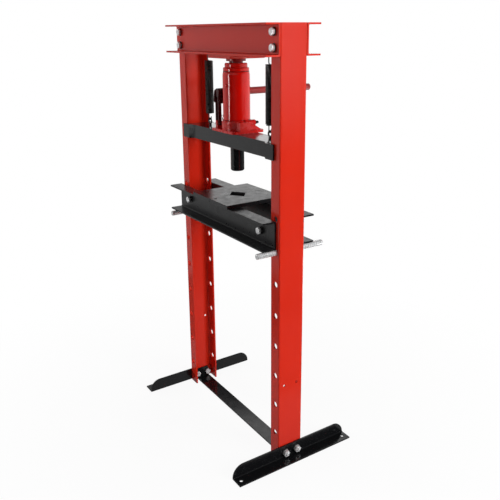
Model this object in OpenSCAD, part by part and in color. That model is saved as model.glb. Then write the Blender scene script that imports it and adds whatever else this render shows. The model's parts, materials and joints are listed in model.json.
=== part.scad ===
// H-frame hydraulic bench press. X runs from the left post to the right post, -Y is the front,
// +Z is up. The origin is the centre of the four floor holes, on the floor.

/* [Posts] */
// Width over the outer faces of the two posts
frame_w = 582; // [520:1:700]
// Height of the posts, with the head flush at their top
post_h = 1320; // [1200:1:1500]
// Depth of a post, over its two flanges
post_d = 88; // [76:1:110]
// Length of a post's flange, from the outer face of its web
post_flange = 42; // [36:1:60]
// Sheet thickness of a post
post_t = 5; // [4:0.5:8]
// Distance of the highest bed pin hole below the head
row_drop = 447; // [420:1:520]
// Height between two bed pin holes
row_pitch = 100; // [80:1:110]
// Count of pin rows from the top down to the one that carries the bed
bed_row_count = 2; // [2:1:5]
// Diameter of a bed pin hole
row_hole_d = 18.6; // [18:0.1:24]
// Distance of the pin holes from the outer face of the web
row_inset = 20; // [18:0.5:26]
// Height of the two spare holes in each web
spare_z = 255; // [200:1:320]
// Distance between the two spare holes
spare_pitch = 46; // [30:1:56]
// Diameter of a spare hole
spare_d = 9; // [6:0.5:14]

/* [Beams] */
// Height of the channel used for the head and the bed
beam_h = 86; // [70:1:110]
// Length of a channel's flange, from the back of its web
beam_flange = 46; // [36:1:60]
// Wall thickness of the channel
beam_t = 5; // [4:0.5:7]
// Bend radius inside a channel or a post
bend_in = 3; // [1:0.5:4]
// Bend radius outside a channel or a post
bend_out = 4; // [1:0.5:5]
// Distance of the head bolts from a post's outer face
head_bolt_inset = 24; // [22:0.5:28]
// Height between the two head bolts at one corner
head_bolt_pitch = 41; // [30:1:50]
// Length of the plate under the head, that the jack pushes against
head_plate_w = 130; // [90:1:200]
// Depth of that plate, front to back
head_plate_d = 122; // [110:1:178]
// Thickness of that plate
head_plate_t = 12; // [8:1:16]
// Thickness of the two ribs above that plate
head_rib_t = 8; // [5:0.5:12]

/* [Fasteners] */
// Thread diameter of the frame bolts
bolt_d = 12; // [10:0.5:14]
// Width across the flats of a bolt's head
bolt_af = 19; // [17:0.5:24]
// Height of a bolt's head
bolt_head_h = 7.5; // [6:0.5:10]
// Height of a nut
nut_h = 10; // [8:0.5:12]
// Outer diameter of a washer
washer_d = 24; // [20:0.5:28]
// Thickness of a washer
washer_t = 2.5; // [1.5:0.5:4]
// Thickness of the spring washer under a bed bolt's head
lock_t = 3; // [2:0.5:4]
// Radial room between a bolt and its hole
bolt_play = 0.5; // [0.3:0.1:1]

/* [Base] */
// Length of a foot
foot_l = 430; // [360:1:520]
// Width of both legs of a foot's angle
foot_leg = 43; // [38:1:60]
// Thickness of a foot's angle
foot_t = 4.5; // [3:0.5:8]
// Rounding of the upright leg's top corners
foot_round = 38; // [10:1:38]
// Distance of a floor hole from the foot's end
floor_hole_inset = 16; // [12:1:30]
// Diameter of a floor hole
floor_hole_d = 11; // [8:0.5:14]
// Distance between the two bolts of a foot
foot_bolt_pitch = 43; // [38:1:52]
// Height of the foot bolts above the floor
foot_bolt_z = 20; // [18:0.5:24]
// Width of the brace between the feet
brace_w = 50; // [44:1:70]
// Thickness of the brace
brace_t = 5; // [4:0.5:8]
// Height of the brace's turned-up ends
brace_tab_h = 41; // [36:1:60]

/* [Bed] */
// How much shorter the bed's channels are than the frame is wide
bed_trim = 4; // [0:1:12]
// How far the loose bed has slid to the left
bed_shift = 14; // [0:1:16]
// Gap between a bed channel and the posts
bed_gap = 1; // [0.5:0.5:3]
// Room between a spacer tube and the post's flange, with the bed slid over
spacer_gap = 6; // [3:0.5:20]
// Outer diameter of the tubes that keep the bed's channels apart
spacer_d = 20; // [17:0.5:24]
// Diameter of a bed pin
pin_d = 17; // [14:0.5:17.5]
// Length of a bed pin
pin_l = 236; // [215:1:320]
// How far the right pin stands out to the back
pin_right_y = 8; // [0:1:12]
// How far the left pin stands out to the back
pin_left_y = 12; // [0:1:16]
// Length of the blunt cone at a pin's end
pin_chamfer = 1.5; // [0.5:0.5:3]

/* [Arbor plates] */
// Width of one arbor plate
plate_w = 108; // [90:1:120]
// Length of an arbor plate, front to back
plate_l = 212; // [188:1:240]
// Thickness of an arbor plate
plate_t = 12; // [8:0.5:20]
// Place of the seam between the two plates, left to right
plate_x = -17; // [-40:1:20]
// Place of the plates' middle, front to back
plate_y = 10; // [-5:1:12]
// Gap at the seam
plate_seam = 0.6; // [0.4:0.1:2]
// Depth of a plate's notch
notch_depth = 38; // [20:1:50]
// Width of a plate's notch at the seam
notch_w = 58; // [30:1:80]
// Diameter of the small hole at the front of the right plate
plate_hole_d = 9; // [6:0.5:12]
// Inset of that hole from the seam
plate_hole_x = 13; // [8:1:24]
// Inset of that hole from the front edge
plate_hole_y = 15; // [10:1:24]

/* [Press beam] */
// Height of the press beam
press_h = 45; // [38:1:60]
// Sheet thickness of the press beam
press_t = 5; // [4:0.5:6]
// Depth of the press beam, front to back
press_d = 77; // [60:1:77]
// Room between the press beam's top and a post's flange
press_end_gap = 4; // [2:0.5:8]
// Reach of a guide ear past the tip of a post's flange
ear_reach = 17; // [12:1:26]
// Length of the joggle between the beam and an ear
ear_joggle = 18; // [10:1:30]
// Room between a guide ear and a post's flange
ear_gap = 1.4; // [1:0.1:3]
// Diameter of the press pin
ram_pin_d = 43; // [30:1:50]
// Distance of the press pin's nose below the press beam's top face
pin_drop = 123; // [80:1:130]
// Wall of the press pin's holder
holder_wall = 8; // [5:0.5:12]
// Length of the press pin's holder
holder_l = 32; // [24:1:40]
// Play between the press pin and its holder
holder_play = 0.1; // [0.05:0.05:0.3]

/* [Return springs] */
// Distance of a spring from the middle of the frame
spring_x = 175; // [150:1:195]
// Distance of the springs behind the middle of the frame
spring_y = 4; // [0:1:8]
// Outer diameter of a spring
spring_d = 28; // [22:1:32]
// Wire diameter of a spring
wire_d = 3.4; // [2.5:0.1:4]
// Height of the lowest coil above the press beam
spring_low = 38; // [34:1:50]
// Distance of the highest coil below the head
spring_drop = 24; // [8:1:40]
// Diameter of a spring's rod in the head
anchor_d = 10; // [8:0.5:12]
// Height of that rod above the head's underside
anchor_z = 30; // [26:1:36]
// Inner diameter of a spring eye
eye_d = 12; // [11:0.5:14]
// Wire diameter of a spring eye
eye_wire = 5; // [4:0.5:6]

/* [Jack] */
// Length of the jack's foot, left to right
jack_foot_w = 136; // [130:1:150]
// Depth of the jack's foot, front to back
jack_foot_d = 114; // [108:1:130]
// How far the foot's middle lies left of the jack's axis
jack_foot_x = 8; // [4:1:12]
// How far the foot's middle lies behind the jack's axis
jack_foot_y = 7; // [0:1:10]
// Thickness of the jack's foot
jack_foot_t = 8; // [6:0.5:12]
// Diameter of the ring above the foot
jack_ring_d = 94; // [90:1:96]
// Height of the ring above the foot
jack_ring_h = 27; // [22:1:32]
// Outer diameter of the oil reservoir
reservoir_d = 84; // [76:1:88]
// Wall of the oil reservoir
reservoir_wall = 3; // [2:0.5:4]
// Height of the oil reservoir
reservoir_h = 148; // [130:1:150]
// Diameter of the cap on the reservoir
cap_d = 80; // [72:1:84]
// Height of that cap
cap_h = 12; // [11:0.5:14]
// Diameter of the gland nut
gland_d = 70; // [60:1:76]
// Height of the gland nut
gland_h = 13; // [10:0.5:13.5]
// Outer diameter of the pressure cylinder
barrel_d = 58; // [54:1:60]
// Bore of the pressure cylinder
barrel_bore = 48; // [46:0.5:50]
// Diameter of the ram
ram_d = 42; // [36:1:44]
// Diameter of the extension screw
screw_d = 26; // [20:1:28]
// Diameter of the saddle
saddle_d = 60; // [50:1:70]
// Thickness of the saddle
saddle_t = 8.7; // [7:0.1:14]
// Height of the neck between the gland nut and the saddle
neck_h = 5; // [3:0.5:12]
// How far the extension screw can be turned down
screw_travel = 5; // [2:0.5:5]
// Distance of the filler plug below the reservoir's top
plug_drop = 41; // [25:1:60]
// Turn of the filler plug from the front, towards the right
plug_turn = 12; // [-40:1:60]

/* [Pump] */
// Distance of the pump from the jack's axis, to the left
pump_x = 64; // [62:0.5:66]
// Place of the plunger, front to back
plunger_y = -4; // [-6:0.5:0]
// Distance between the plunger and the link
lever_arm = 24; // [22:0.5:26]
// Diameter of the plunger
plunger_d = 12; // [8:0.5:12]
// Height of the two lever pins above the press beam
lever_z = 92; // [88:1:98]
// Height of the handle above the press beam
handle_z = 115.5; // [112:0.5:122]
// Diameter of the handle
handle_d = 22; // [16:0.5:23]
// Length of the handle
handle_length = 360; // [250:1:400]
// Place of the handle's front end
handle_y = -28; // [-34:1:-24]
// Wall of the handle's sleeve
sleeve_wall = 2.2; // [2:0.1:2.6]
// Length of the handle's sleeve
sleeve_l = 104; // [80:1:130]

/* [Hidden] */
$fn = 64;
// Small overlap that lets a cut run clear of a face
eps = 1;
// Face-to-face room between moving round parts
slip = 0.3;
post_x = frame_w / 2;
post_y = post_d / 2;
web_in = post_x - post_t;
tip_x = post_x - post_flange;
row_x = post_x - row_inset;
head_z = post_h - beam_h;
row_top = head_z - row_drop;
// Lowest height at which a bed pin hole makes sense
row_floor = 70;
row_count = floor((row_top - row_floor) / row_pitch) + 1;
head_bolt_x = post_x - head_bolt_inset;
head_bolt_zs = [post_h - beam_h / 2 - head_bolt_pitch / 2, post_h - beam_h / 2 + head_bolt_pitch / 2];
bolt_hole_d = bolt_d + 2 * bolt_play;
washer_hole_d = bolt_d + bolt_play;
// How much wider a spring washer is than the bolt's head
lock_lap = 1;
thread_out = 4;
pin_z = row_top - (bed_row_count - 1) * row_pitch;
bed_z = pin_z + pin_d / 2 + slip;
bed_top = bed_z + beam_h;
bed_y = post_y + bed_gap;
bed_w = frame_w - bed_trim;
bed_bolt_x = tip_x - bed_shift - spacer_gap - spacer_d / 2;
bed_bolt_z = bed_z + beam_h / 2;
floor_hole_x = post_x + foot_t + (foot_leg - foot_t) / 2;
floor_hole_y = foot_l / 2 - floor_hole_inset;
foot_bolt_y = foot_bolt_pitch / 2;
plate_under = head_z - head_plate_t;
// The jack fills the height between the head's plate and the press beam
saddle_top = plate_under - slip;
saddle_z = saddle_top - saddle_t;
gland_top = saddle_z - neck_h;
gland_z = gland_top - gland_h;
cap_z = gland_z - cap_h;
tube_z = cap_z - reservoir_h;
ring_z = tube_z - jack_ring_h;
press_z = ring_z - jack_foot_t;
press_low = press_z - press_h;
press_under = press_z - press_t;
press_y = press_d / 2;
press_end = tip_x - press_end_gap;
ear_in = post_y + ear_gap;
ear_out = ear_in + press_t;
ear_tip = tip_x + ear_reach;
// Straight part of an ear before it passes the post's flange
ear_lead = 2;
ear_root = tip_x - ear_reach - ear_lead;
joggle_root = ear_root - ear_joggle;
holder_low = press_under - holder_l;
ram_nose_z = press_z - pin_drop;
ram_pin_chamfer = 3;
holder_screw_z = holder_low + holder_l / 2;
spring_r = (spring_d - wire_d) / 2;
coil_low = press_z + spring_low;
coil_high = head_z - spring_drop;
// Side of the square bar across a coil's end
cross_w = 1.2 * wire_d;
rod_z = head_z + anchor_z;
eye_r = (eye_d + eye_wire) / 2;
eye_z = press_z + eye_wire + eye_r;
eye_thread = 8;
eye_collar_d = 10;
eye_nut_af = 13;
eye_nut_h = 6.5;
// Room for castings and tubes that sit in one another
fit = 0.1;
// Height of the pressure cylinder's seat above the jack's foot
barrel_seat = 10;
barrel_low = ring_z + barrel_seat;
barrel_high = cap_z + 0.6 * cap_h;
barrel_floor = 5;
// Gap under the ram at its lowest
ram_rest = 1;
ram_low = barrel_low + barrel_floor + ram_rest;
hub_z = gland_top + 2 * slip;
ram_high = hub_z - screw_travel - slip;
piston_h = 18;
seal_h = 5;
// Height of the ram's seal above its lower end
seal_up = 6;
seal_z = ram_low + seal_up;
seal_depth = 2.5;
// Play of that seal in the cylinder
seal_play = 0.04;
// Play of the ram in the cap
cap_play = 1;
// Length of the extension screw inside the ram
screw_in = 100;
screw_low = ram_high - screw_in;
// Depth of the extension screw in the saddle
screw_up = saddle_t / 2;
plug_d = 9;
plug_head_d = 9.5;
// Heights of the pump's bore and top, the links' pin and the valve above the jack's foot
pump_seat_h = 5;
pump_h = 37;
lug_pin_h = 12;
valve_h = 22;
pump_seat = ring_z + pump_seat_h;
pump_top = ring_z + pump_h;
pump_body_d = 24;
pump_nut_h = 8;
// How much wider the pump's nut is than its barrel
pump_nut_lap = 2;
// Oil room under the plunger
pump_room = 2;
// Wall of the plunger's eye past its shaft
plunger_eye_lap = 1;
link_y = plunger_y - lever_arm;
lever_pin_z = press_z + lever_z;
bar_z = press_z + handle_z;
lug_z = ring_z + lug_pin_h;
lug_h = 22;
lug_d = 16;
pump_boss_h = 16;
pump_boss_wall = 3;
pivot_d = 7;
pivot_head_d = 12;
pivot_head = 2.5;
sleeve_d = handle_d + 2 * slip + 2 * sleeve_wall;
cheek_t = 4;
// Depth that a cheek laps over the side of the sleeve
cheek_lap = 3.5;
cheek_in = sleeve_d / 2 - cheek_lap;
cheek_out = cheek_in + cheek_t;
link_t = 4;
link_w = 11;
link_gap = 0.4;
link_out = cheek_in - link_gap;
link_in = link_out - link_t;
lever_r = 9;
// Half of a cut that passes through the whole lever
lever_cut = 30;
slot_l = 4.4;
slot_back = 0.6;
// Room for the plunger's pin across the slot
slot_room = 1.7;
slot_h = pivot_d + slot_room;
// How far the sleeve reaches past the handle's front end
sleeve_lead = 4;
sleeve_y = handle_y - sleeve_lead;
// Outline of a cheek: its nose past the link, its tail past the plunger, its top below the sleeve's
cheek_nose = 2;
cheek_tail = 28;
cheek_drop = 3;
foot_corner = 12;
// Square boss of the jack's foot, flush with the foot's right edge
boss_x = jack_foot_w / 2 - jack_foot_x;
boss_y = -7;
boss_w = 38;
boss_h = jack_ring_h - 1;
valve_x = 44;
valve_y = 36;
valve_z = ring_z + valve_h;
valve_d = 9;
valve_boss_d = 18;
valve_out = 13;
valve_in = 20;
// Room at the bottom of the valve's bore
valve_room = 2;
// Rib from the valve's boss down to the foot's rear edge
rib_t = 8;
rib_y = 58;
rib_h = 14;
gland_bevel = 3;

RED = "firebrick";
BLACK = "dimgray";
ZINC = "silver";

// Shaft along Y, from y0 to y1
module rod_y(x, y0, y1, z, d) {
    translate([x, y0, z]) rotate([-90, 0, 0]) cylinder(h = y1 - y0, d = d);
}

// Shaft along X, from x0 to x1
module rod_x(x0, x1, y, z, d) {
    translate([x0, y, z]) rotate([0, 90, 0]) cylinder(h = x1 - x0, d = d);
}

// Hexagon along +Z with its flats af apart
module hexagon(af, h) {
    cylinder(h = h, d = af / cos(30), $fn = 6);
}

// Hex bolt along -Z, its head's underside at the origin
module bolt(length) {
    hexagon(bolt_af, bolt_head_h);
    translate([0, 0, -length]) cylinder(h = length + bolt_head_h / 2, d = bolt_d);
}

// Washer that sits on the origin plane
module washer(t = washer_t, d = washer_d) {
    difference() {
        cylinder(h = t, d = d);
        translate([0, 0, -eps]) cylinder(h = t + 2 * eps, d = washer_hole_d);
    }
}

// Nut that sits on the origin plane
module nut(af = bolt_af, h = nut_h, d = bolt_d) {
    difference() {
        hexagon(af, h);
        translate([0, 0, -eps]) cylinder(h = h + 2 * eps, d = d + 2 * slip);
    }
}

// Puts its children at each head bolt of the front or rear beam, +Z outward
module at_head_bolts(side) {
    for (x = [-head_bolt_x, head_bolt_x], z = head_bolt_zs)
        translate([x, side * (post_y + beam_t), z]) rotate([-side * 90, 0, 0]) children();
}

// Puts its children at the foot bolts, on a plane at distance x from the middle, +Z outward
module at_foot_bolts(x) {
    for (side = [-1, 1], y = [-foot_bolt_y, foot_bolt_y])
        translate([side * x, y, foot_bolt_z]) rotate([0, side * 90, 0]) children();
}

// Outline of a channel: its web's back on the Y axis, its flanges along +X
module channel_outline(height, flange, wall) {
    low = wall + bend_in;
    difference() {
        square([flange, height]);
        bend_cut();
        translate([0, height]) mirror([0, 1]) bend_cut();
        translate([low, low]) circle(r = bend_in);
        translate([low, height - low]) circle(r = bend_in);
        translate([wall, low]) square([flange, height - 2 * low]);
        translate([low, wall]) square([flange, height - 2 * wall]);
    }
}

// What the outer bend takes off a corner at the origin
module bend_cut() {
    difference() {
        translate([-eps, -eps]) square(bend_out + eps);
        translate([bend_out, bend_out]) circle(r = bend_out);
    }
}

// Post with its web at the outside, for the side -1 or 1
module post(side) {
    color(RED) difference() {
        mirror([side > 0 ? 1 : 0, 0, 0]) translate([-post_x, -post_y, 0]) linear_extrude(post_h)
            channel_outline(post_d, post_flange, post_t);
        for (row = [0 : row_count - 1])
            rod_y(side * row_x, -post_y - eps, post_y + eps, row_top - row * row_pitch, row_hole_d);
        for (z = head_bolt_zs)
            rod_y(side * head_bolt_x, -post_y - eps, post_y + eps, z, bolt_hole_d);
        for (y = [-spare_pitch / 2, spare_pitch / 2])
            rod_x(side * post_x - 2 * post_t, side * post_x + 2 * post_t, y, spare_z, spare_d);
        for (y = [-foot_bolt_y, foot_bolt_y])
            rod_x(side * post_x - 2 * post_t, side * post_x + 2 * post_t, y, foot_bolt_z, bolt_hole_d);
    }
}

// Channel of the head or the bed: its web's back at back_y, its flanges away from the middle
module beam(side, back_y, width, z) {
    mirror([0, side < 0 ? 1 : 0, 0]) translate([-width / 2, back_y, z])
        rotate([90, 0, 90]) linear_extrude(width) channel_outline(beam_h, beam_flange, beam_t);
}

module head_beam(side) {
    color(RED) difference() {
        beam(side, post_y, frame_w, head_z);
        for (x = [-head_bolt_x, head_bolt_x], z = head_bolt_zs)
            rod_y(x, side * post_y - 2 * beam_t, side * post_y + 2 * beam_t, z, bolt_hole_d);
    }
}

// Plate under the two head beams, that the saddle pushes against
module head_plate() {
    color(RED) translate([-head_plate_w / 2, -head_plate_d / 2, plate_under])
        cube([head_plate_w, head_plate_d, head_plate_t]);
}

// Two ribs that stand on the head plate, between the beams
module head_ribs() {
    rib_x = head_plate_w / 4;
    color(RED) for (x = [-rib_x, rib_x])
        translate([x - head_rib_t / 2, -post_y, head_z])
            cube([head_rib_t, post_d, beam_h - head_plate_t]);
}

module spring_rods() {
    color(RED) for (x = [-spring_x, spring_x]) rod_y(x, -post_y, post_y, rod_z, anchor_d);
}

module head_bolts() {
    grip = beam_t + post_t + washer_t;
    color(ZINC) for (side = [-1, 1]) at_head_bolts(side)
        translate([0, 0, washer_t]) bolt(grip + nut_h + thread_out);
}

module head_washers() {
    color(ZINC) for (side = [-1, 1]) at_head_bolts(side) washer();
}

module head_nuts() {
    color(ZINC) for (side = [-1, 1]) at_head_bolts(side)
        translate([0, 0, -beam_t - post_t - nut_h]) nut();
}

// Angle of a foot, with rounded corners on its upright leg
module foot(side) {
    color(BLACK) difference() {
        union() {
            translate([side > 0 ? post_x : -post_x - foot_leg, -foot_l / 2, 0])
                cube([foot_leg, foot_l, foot_t]);
            translate([side > 0 ? post_x : -post_x - foot_t, 0, 0])
                rotate([90, 0, 90]) linear_extrude(foot_t) foot_upright();
        }
        for (y = [-floor_hole_y, floor_hole_y])
            translate([side * floor_hole_x, y, -eps]) cylinder(h = foot_t + 2 * eps, d = floor_hole_d);
        for (y = [-foot_bolt_y, foot_bolt_y])
            rod_x(side * post_x - 2 * foot_t, side * post_x + 2 * foot_t, y, foot_bolt_z, bolt_hole_d);
    }
}

module foot_upright() {
    round_y = foot_l / 2 - foot_round;
    round_z = foot_leg - foot_round;
    translate([-foot_l / 2, 0]) square([foot_l, round_z]);
    translate([-round_y, 0]) square([2 * round_y, foot_leg]);
    for (y = [-round_y, round_y]) translate([y, round_z]) intersection() {
        circle(r = foot_round);
        translate([-foot_round, 0]) square([2 * foot_round, foot_round]);
    }
}

// Flat bar on the floor with its ends turned up inside the posts
module base_brace() {
    color(BLACK) difference() {
        union() {
            translate([-web_in, -brace_w / 2, 0]) cube([2 * web_in, brace_w, brace_t]);
            for (x = [-web_in, web_in - brace_t])
                translate([x, -brace_w / 2, 0]) cube([brace_t, brace_w, brace_tab_h]);
        }
        for (side = [-1, 1], y = [-foot_bolt_y, foot_bolt_y])
            rod_x(side * web_in - 2 * brace_t, side * web_in + 2 * brace_t, y, foot_bolt_z, bolt_hole_d);
    }
}

module foot_bolts() {
    grip = brace_t + post_t + foot_t + washer_t;
    color(ZINC) at_foot_bolts(web_in - brace_t) mirror([0, 0, 1]) bolt(grip + nut_h + thread_out);
}

module foot_washers() {
    color(ZINC) at_foot_bolts(post_x + foot_t) washer();
}

module foot_nuts() {
    color(ZINC) at_foot_bolts(post_x + foot_t + washer_t) nut();
}

module bed_channel(side) {
    color(BLACK) translate([-bed_shift, 0, 0]) difference() {
        beam(side, bed_y, bed_w, bed_z);
        for (x = [-bed_bolt_x, bed_bolt_x])
            rod_y(x, side * bed_y - 2 * beam_t, side * bed_y + 2 * beam_t, bed_bolt_z, bolt_hole_d);
    }
}

module bed_spacers() {
    color(ZINC) for (x = [-bed_bolt_x, bed_bolt_x]) difference() {
        rod_y(x - bed_shift, -bed_y, bed_y, bed_bolt_z, spacer_d);
        rod_y(x - bed_shift, -bed_y - eps, bed_y + eps, bed_bolt_z, bolt_hole_d);
    }
}

module bed_bolts() {
    grip = 2 * (bed_y + beam_t + washer_t) + lock_t;
    color(ZINC) for (x = [-bed_bolt_x, bed_bolt_x])
        translate([x - bed_shift, -bed_y - beam_t - washer_t - lock_t, bed_bolt_z])
            rotate([90, 0, 0]) bolt(grip + nut_h + thread_out);
}

// Flat washers on both sides, and a spring washer under each bolt's head
module bed_washers() {
    color(ZINC) for (x = [-bed_bolt_x, bed_bolt_x]) translate([x - bed_shift, 0, bed_bolt_z]) {
        for (side = [-1, 1])
            translate([0, side * (bed_y + beam_t), 0]) rotate([-side * 90, 0, 0]) washer();
        translate([0, -bed_y - beam_t - washer_t, 0]) rotate([90, 0, 0]) washer(lock_t, bolt_af + lock_lap);
    }
}

module bed_nuts() {
    color(ZINC) for (x = [-bed_bolt_x, bed_bolt_x])
        translate([x - bed_shift, bed_y + beam_t + washer_t, bed_bolt_z])
            rotate([-90, 0, 0]) nut();
}

// Round bar through one post, with blunt ends
module bed_pin(side, y) {
    color(ZINC) translate([side * row_x, y - pin_l / 2, pin_z]) rotate([-90, 0, 0]) {
        cylinder(h = pin_chamfer, d1 = pin_d - 2 * pin_chamfer, d2 = pin_d);
        translate([0, 0, pin_chamfer]) cylinder(h = pin_l - 2 * pin_chamfer, d = pin_d);
        translate([0, 0, pin_l - pin_chamfer])
            cylinder(h = pin_chamfer, d1 = pin_d, d2 = pin_d - 2 * pin_chamfer);
    }
}

// Plate beside the seam, for the side -1 or 1, with a notch that faces the other plate
module arbor_plate(side) {
    color(BLACK) translate([plate_x, plate_y, bed_top]) difference() {
        linear_extrude(plate_t) mirror([side < 0 ? 1 : 0, 0]) translate([plate_seam / 2, 0]) polygon([
            [0, -plate_l / 2], [plate_w, -plate_l / 2], [plate_w, plate_l / 2], [0, plate_l / 2],
            [0, notch_w / 2], [notch_depth, 0], [0, -notch_w / 2]]);
        if (side > 0)
            translate([plate_hole_x, plate_hole_y - plate_l / 2, -eps])
                cylinder(h = plate_t + 2 * eps, d = plate_hole_d);
    }
}

// Outline of the beam's front wall and its two joggled guide ears, seen from above
module ear_wall() {
    for (side = [-1, 1]) mirror([side < 0 ? 1 : 0, 0]) polygon([
        [0, press_y - press_t], [joggle_root, press_y - press_t],
        [ear_root, ear_in], [ear_tip, ear_in], [ear_tip, ear_out],
        [ear_root - press_t / 2, ear_out], [joggle_root - press_t / 2, press_y], [0, press_y]]);
}

module press_beam() {
    color(BLACK) difference() {
        union() {
            translate([-press_end, -press_y, press_under]) cube([2 * press_end, press_d, press_t]);
            for (side = [-1, 1]) mirror([0, side < 0 ? 1 : 0, 0])
                translate([0, 0, press_low]) linear_extrude(press_h) ear_wall();
        }
        for (x = [-spring_x, spring_x])
            translate([x, spring_y, press_under - eps])
                cylinder(h = press_t + 2 * eps, d = eye_thread + slip);
    }
}

// Sleeve under the press beam that holds the press pin
module pin_holder() {
    color(BLACK) difference() {
        translate([0, 0, holder_low]) cylinder(h = holder_l, d = ram_pin_d + 2 * holder_wall);
        translate([0, 0, holder_low - eps])
            cylinder(h = holder_l + 2 * eps, d = ram_pin_d + 2 * holder_play);
        rod_y(0, -ram_pin_d / 2 - 2 * holder_wall, 0, holder_screw_z, eye_thread + 2 * slip);
    }
}

module press_pin() {
    color(BLACK) {
        translate([0, 0, ram_nose_z + ram_pin_chamfer])
            cylinder(h = press_under - ram_nose_z - ram_pin_chamfer, d = ram_pin_d);
        translate([0, 0, ram_nose_z])
            cylinder(h = ram_pin_chamfer, d1 = ram_pin_d - 2 * ram_pin_chamfer, d2 = ram_pin_d);
    }
}

// Screw in the holder's wall that keeps the press pin in place
module pin_screw() {
    head = 3;
    head_af = 10;
    out = ram_pin_d / 2 + holder_wall;
    color(ZINC) {
        rod_y(0, -out - head / 2, -ram_pin_d / 2 - slip / 2, holder_screw_z, eye_thread);
        translate([0, -out, holder_screw_z]) rotate([90, 0, 0]) hexagon(head_af, head);
    }
}

// Eye bolts in the press beam that hold the springs
module spring_eyes() {
    shank = press_t + eye_nut_h + thread_out;
    color(ZINC) for (x = [-spring_x, spring_x]) translate([x, spring_y, 0]) {
        translate([0, 0, eye_z]) rotate([90, 0, 0])
            rotate_extrude() translate([eye_r, 0]) circle(d = eye_wire);
        translate([0, 0, press_z - shank]) cylinder(h = shank + eye_wire / 2, d = eye_thread - slip);
        translate([0, 0, press_z]) cylinder(h = eye_wire, d = eye_collar_d);
    }
}

module eye_nuts() {
    color(ZINC) for (x = [-spring_x, spring_x])
        translate([x, spring_y, press_under - eye_nut_h]) nut(eye_nut_af, eye_nut_h, eye_thread);
}

// Tight coil drawn as a tube, with a hook at each end
module return_spring(side) {
    color(BLACK) translate([side * spring_x, spring_y, 0]) {
        translate([0, 0, coil_low]) difference() {
            cylinder(h = coil_high - coil_low, d = spring_d);
            translate([0, 0, -eps]) cylinder(h = coil_high - coil_low + 2 * eps, d = spring_d - 2 * wire_d);
        }
        rotate([0, 0, 90]) spring_hook(coil_low + wire_d / 2, -1, eye_z + eye_r);
        spring_hook(coil_high - wire_d / 2, 1, rod_z);
    }
}

// Loop over the bar that a coil's end hangs on, with its shank and crossbar; way is 1 upward
module spring_hook(z, way, bar) {
    r = (way > 0 ? anchor_d : eye_wire) / 2 + slip + wire_d / 2;
    mirror([0, 0, way < 0 ? 1 : 0]) {
        intersection() {
            translate([0, 0, way * bar]) rotate([90, 0, 0]) rotate_extrude() translate([r, 0]) circle(d = wire_d);
            translate([-2 * r, -wire_d, way * bar]) cube([4 * r, 2 * wire_d, 2 * r]);
        }
        translate([-r, 0, way * z]) cylinder(h = way * (bar - z), d = wire_d);
    }
    translate([-r - cross_w / 2, -cross_w / 2, z - cross_w / 2])
        cube([spring_r + r + cross_w / 2, cross_w, cross_w]);
}

// Cast foot of the jack with its ring, square boss, pump seat and lug, and valve boss
module jack_base() {
    foot_x = jack_foot_w / 2 - foot_corner;
    foot_y = jack_foot_d / 2 - foot_corner;
    color(RED) difference() {
        union() {
            translate([-jack_foot_x, jack_foot_y, press_z]) {
                for (x = [-foot_x, foot_x], y = [-foot_y, foot_y])
                    translate([x, y, 0]) cylinder(h = jack_foot_t, r = foot_corner);
                translate([-foot_x, -jack_foot_d / 2, 0]) cube([2 * foot_x, jack_foot_d, jack_foot_t]);
                translate([-jack_foot_w / 2, -foot_y, 0]) cube([jack_foot_w, 2 * foot_y, jack_foot_t]);
            }
            translate([0, 0, press_z]) cylinder(h = jack_foot_t + jack_ring_h, d = jack_ring_d);
            translate([0, boss_y - boss_w / 2, press_z]) cube([boss_x, boss_w, jack_foot_t + boss_h]);
            translate([-pump_x, plunger_y, press_z])
                cylinder(h = jack_foot_t + pump_boss_h, d = pump_body_d + 2 * pump_boss_wall);
            translate([-pump_x - link_in + slip, link_y - lug_d / 2, press_z])
                cube([2 * (link_in - slip), lug_d, jack_foot_t + lug_h]);
            rod_y(valve_x, 0, valve_y, valve_z, valve_boss_d);
            translate([valve_x - rib_t / 2, 0, ring_z]) rotate([90, 0, 90]) linear_extrude(rib_t)
                polygon([[0, 0], [rib_y, 0], [valve_y, rib_h], [0, rib_h]]);
        }
        translate([0, 0, barrel_low]) cylinder(h = jack_ring_h, d = barrel_d + 2 * fit);
        translate([0, 0, barrel_low + barrel_floor])
            cylinder(h = jack_ring_h, d = reservoir_d - 2 * reservoir_wall);
        translate([0, 0, tube_z]) cylinder(h = jack_ring_h, d = reservoir_d + 2 * slip);
        translate([-pump_x, plunger_y, ring_z]) cylinder(h = jack_ring_h, d = pump_body_d + 2 * fit);
        rod_x(-pump_x - link_out, -pump_x + link_out, link_y, lug_z, pivot_d + fit);
        rod_y(valve_x, valve_y - valve_in - valve_room, valve_y + eps, valve_z, valve_d + fit);
    }
}

module jack_cylinder() {
    color(ZINC) difference() {
        translate([0, 0, barrel_low]) cylinder(h = barrel_high - barrel_low, d = barrel_d);
        translate([0, 0, barrel_low + barrel_floor]) cylinder(h = barrel_high, d = barrel_bore);
    }
}

module jack_reservoir() {
    color(RED) difference() {
        translate([0, 0, tube_z]) cylinder(h = reservoir_h, d = reservoir_d);
        translate([0, 0, tube_z - eps])
            cylinder(h = reservoir_h + 2 * eps, d = reservoir_d - 2 * reservoir_wall);
        rotate([0, 0, plug_turn]) rod_y(0, -reservoir_d, 0, cap_z - plug_drop, plug_d);
    }
}

module reservoir_cap() {
    color(RED) difference() {
        translate([0, 0, cap_z]) cylinder(h = cap_h, d = cap_d);
        translate([0, 0, cap_z - eps]) cylinder(h = cap_h + 2 * eps, d = ram_d + cap_play);
        translate([0, 0, cap_z - eps])
            cylinder(h = barrel_high - cap_z + eps + fit, d = barrel_d + 2 * fit);
    }
}

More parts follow.
